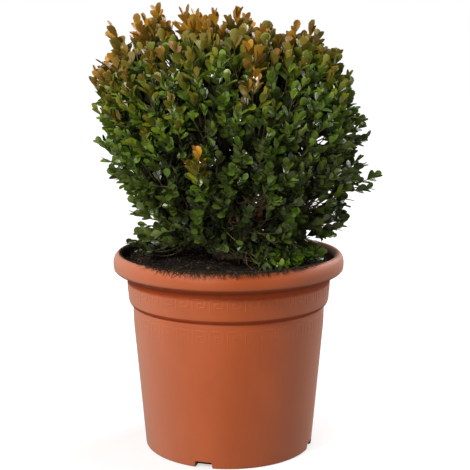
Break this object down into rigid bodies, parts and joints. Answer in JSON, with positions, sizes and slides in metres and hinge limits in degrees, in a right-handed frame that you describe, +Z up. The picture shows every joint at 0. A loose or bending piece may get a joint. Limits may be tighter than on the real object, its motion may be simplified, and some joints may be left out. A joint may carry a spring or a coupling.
{
  "type": "potted boxwood ball topiary",
  "caption": "Clipped ball of small-leaved evergreen box in a round, moulded plastic pot with a rolled lip and a patterned band.",
  "frame": {"origin": "centre of the pot's flat underside", "axes": "+Z up along the pot's axis; -Y is the front that the picture shows, and +X is to the right of it"},
  "size_m": [0.3007, 0.2804, 0.4611],
  "materials": {
    "pot_plastic": "satin terracotta coloured moulding",
    "potting_soil": "dark, crumbly, matt compost",
    "bark": "matt grey-brown bark, redder on young wood",
    "green_leaves": "small glossy evergreen leaves",
    "bronze_leaves": "glossy young leaves tinted bronze"
  },
  "bodies": {
    "root": {"bough_leader": "bark", "bough_lower_back": "bark", "bough_lower_back_left_side": "bark", "bough_lower_back_right_side": "bark", "bough_lower_front": "bark", "bough_lower_front_left_side": "bark", "bough_lower_front_right_side": "bark", "bough_upper_back_left": "bark", "bough_upper_back_right": "bark", "bough_upper_front_left": "bark", "bough_upper_left": "bark", "bough_upper_right": "bark", "foliage_lower_back": "green_leaves", "foliage_lower_back_left_side": "green_leaves", "foliage_lower_back_right_side": "green_leaves", "foliage_lower_front": "green_leaves", "foliage_lower_front_left_side": "green_leaves", "foliage_lower_front_right_side": "green_leaves", "foliage_top": "bronze_leaves", "foliage_upper_back_left": "green_leaves", "foliage_upper_back_right": "green_leaves", "foliage_upper_front_left": "green_leaves", "foliage_upper_front_right": "green_leaves", "foliage_upper_left": "green_leaves", "foliage_upper_right": "green_leaves", "main_stem": "bark", "pot": "pot_plastic", "potting_soil": "potting_soil", "side_stem": "bark"}
  },
  "joints": []
}
